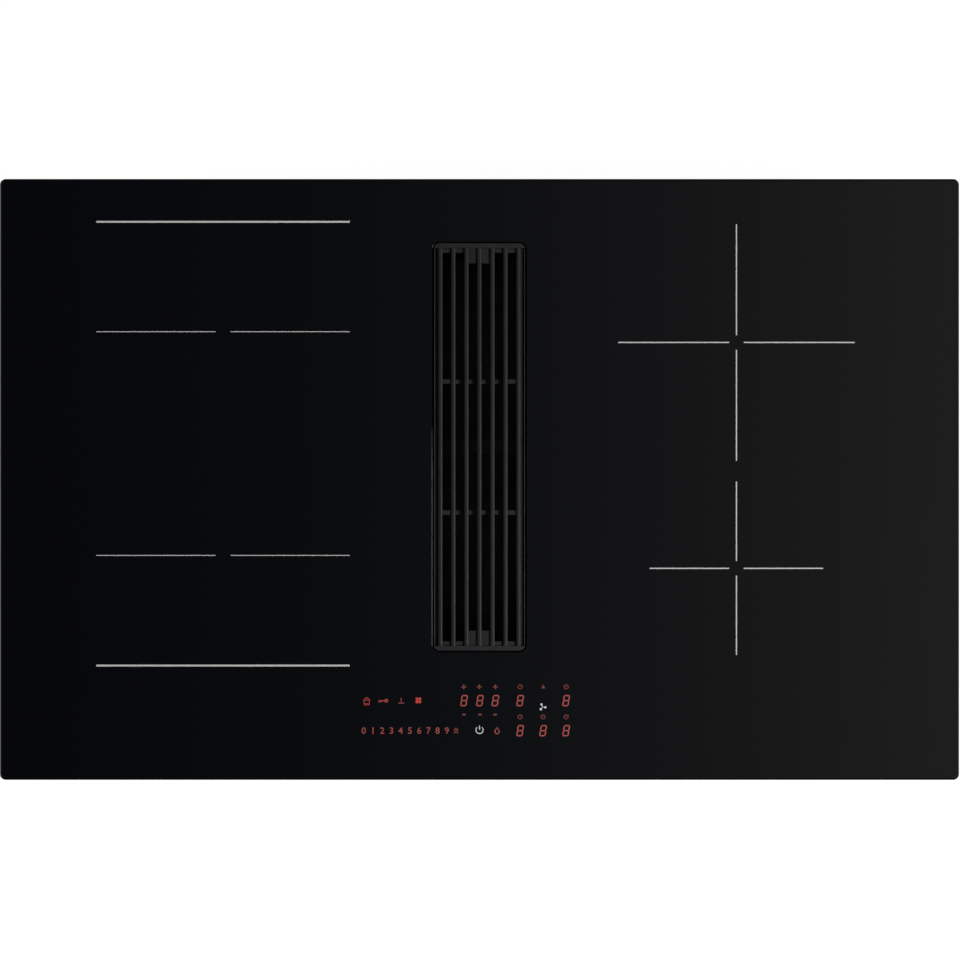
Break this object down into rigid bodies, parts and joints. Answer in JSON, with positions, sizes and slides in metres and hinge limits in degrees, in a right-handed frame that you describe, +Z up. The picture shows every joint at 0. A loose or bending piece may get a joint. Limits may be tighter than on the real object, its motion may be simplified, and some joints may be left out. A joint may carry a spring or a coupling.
{
  "type": "downdraft induction cooktop",
  "caption": "Black glass induction cooktop for a worktop cut-out, with a central lift-out grille over an intake slot and a blower box with a flat duct outlet below.",
  "frame": {"origin": "centre of the glass in plan, on the worktop's upper face, which is the underside of the seal", "axes": "+X to the user's right along the long side, +Y to the rear away from the touch controls, +Z up out of the worktop"},
  "size_m": [0.83, 0.52, 0.21],
  "materials": {
    "black_glass": "gloss black glass-ceramic",
    "seal_foam": "black foam tape",
    "galvanised_steel": "galvanised sheet",
    "plated_steel": "zinc plated",
    "silicone": "black silicone",
    "black_plastic": "matte black",
    "grey_plastic": "matte dark grey",
    "filter_steel": "matte black coated steel",
    "grille_black": "matte black coated cast aluminium",
    "copper_wire": "enamelled copper litz wire",
    "aluminium_sheet": "mill finish",
    "ferrite": "sintered, dull",
    "mica": "pressed mica sheet",
    "sensor_ceramic": "white ceramic",
    "circuit_board": "green solder resist",
    "display_red": "dark red light guide",
    "motor_steel": "black painted steel"
  },
  "bodies": {
    "hob": {"glass_plate": "black_glass", "worktop_seal": "seal_foam", "glass_frame": "galvanised_steel", "bonding_bead": "silicone", "hob_casing": "galvanised_steel", "casing_screws": "plated_steel", "intake_throat": "black_plastic", "throat_seal": "silicone", "left_front_coil": "copper_wire", "left_rear_coil": "copper_wire", "right_front_coil": "copper_wire", "right_rear_coil": "copper_wire", "left_front_coil_shield": "aluminium_sheet", "left_rear_coil_shield": "aluminium_sheet", "right_front_coil_shield": "aluminium_sheet", "right_rear_coil_shield": "aluminium_sheet", "ferrite_bars": "ferrite", "mica_sheets": "mica", "temperature_sensors": "sensor_ceramic", "coil_pads": "silicone", "left_coil_tray": "aluminium_sheet", "right_coil_tray": "aluminium_sheet", "left_power_board": "circuit_board", "right_power_board": "circuit_board", "board_standoffs": "grey_plastic", "heatsinks": "aluminium_sheet", "capacitors": "black_plastic", "left_fan_frame": "black_plastic", "right_fan_frame": "black_plastic", "display_holder": "grey_plastic", "touch_board": "circuit_board", "display_modules": "display_red", "air_box_lid": "grey_plastic", "air_box_tub": "grey_plastic", "air_box_screws": "plated_steel", "blower_scroll": "grey_plastic", "scroll_cover": "grey_plastic", "blower_motor": "motor_steel", "outlet_adapter": "grey_plastic", "terminal_box": "black_plastic", "terminal_block": "grey_plastic", "cable_gland": "black_plastic", "clamp_pivots": "plated_steel"},
    "drip_tray": {"drip_tray": "black_plastic"},
    "filter": {"filter_frame": "filter_steel", "filter_mesh": "filter_steel"},
    "grille": {"grille": "grille_black"},
    "impeller": {"impeller": "black_plastic"},
    "left_fan": {"left_fan_rotor": "black_plastic"},
    "right_fan": {"right_fan_rotor": "black_plastic"},
    "terminal_cover": {"terminal_cover": "black_plastic"},
    "front_left_clamp": {"clamp_front_left": "plated_steel", "press_screw_front_left": "plated_steel"},
    "front_right_clamp": {"clamp_front_right": "plated_steel", "press_screw_front_right": "plated_steel"},
    "rear_left_clamp": {"clamp_rear_left": "plated_steel", "press_screw_rear_left": "plated_steel"},
    "rear_right_clamp": {"clamp_rear_right": "plated_steel", "press_screw_rear_right": "plated_steel"}
  },
  "joints": [
    {"name": "drip_tray_lift", "type": "slide", "parent": "hob", "child": "drip_tray", "axis": [0, 0, 1], "range_m": [0, 0.19]},
    {"name": "filter_lift", "type": "slide", "parent": "drip_tray", "child": "filter", "axis": [0, 0, 1], "range_m": [0, 0.15]},
    {"name": "grille_lift", "type": "slide", "parent": "filter", "child": "grille", "axis": [0, 0, 1], "range_m": [0, 0.08]},
    {"name": "impeller_spin", "type": "hinge", "parent": "hob", "child": "impeller", "pos_m": [0.16, -0.01, -0.15], "axis": [0, 0, 1], "continuous": true},
    {"name": "left_fan_spin", "type": "hinge", "parent": "hob", "child": "left_fan", "pos_m": [-0.35, -0.03, -0.04], "axis": [0, 0, 1], "continuous": true},
    {"name": "right_fan_spin", "type": "hinge", "parent": "hob", "child": "right_fan", "pos_m": [0.35, -0.03, -0.04], "axis": [0, 0, 1], "continuous": true},
    {"name": "front_left_clamp_swivel", "type": "hinge", "parent": "hob", "child": "front_left_clamp", "pos_m": [-0.37375, -0.2, -0.055], "axis": [0, 0, 1], "range_deg": [0, 90]},
    {"name": "front_right_clamp_swivel", "type": "hinge", "parent": "hob", "child": "front_right_clamp", "pos_m": [0.37375, -0.2, -0.055], "axis": [0, 0, -1], "range_deg": [0, 90]},
    {"name": "rear_left_clamp_swivel", "type": "hinge", "parent": "hob", "child": "rear_left_clamp", "pos_m": [-0.37375, 0.2, -0.055], "axis": [0, 0, -1], "range_deg": [0, 90]},
    {"name": "rear_right_clamp_swivel", "type": "hinge", "parent": "hob", "child": "rear_right_clamp", "pos_m": [0.37375, 0.2, -0.055], "axis": [0, 0, 1], "range_deg": [0, 90]},
    {"name": "terminal_cover_hinge", "type": "hinge", "parent": "hob", "child": "terminal_cover", "pos_m": [-0.2475, 0.1473, -0.07], "axis": [0, 0, -1], "range_deg": [0, 110]}
  ]
}
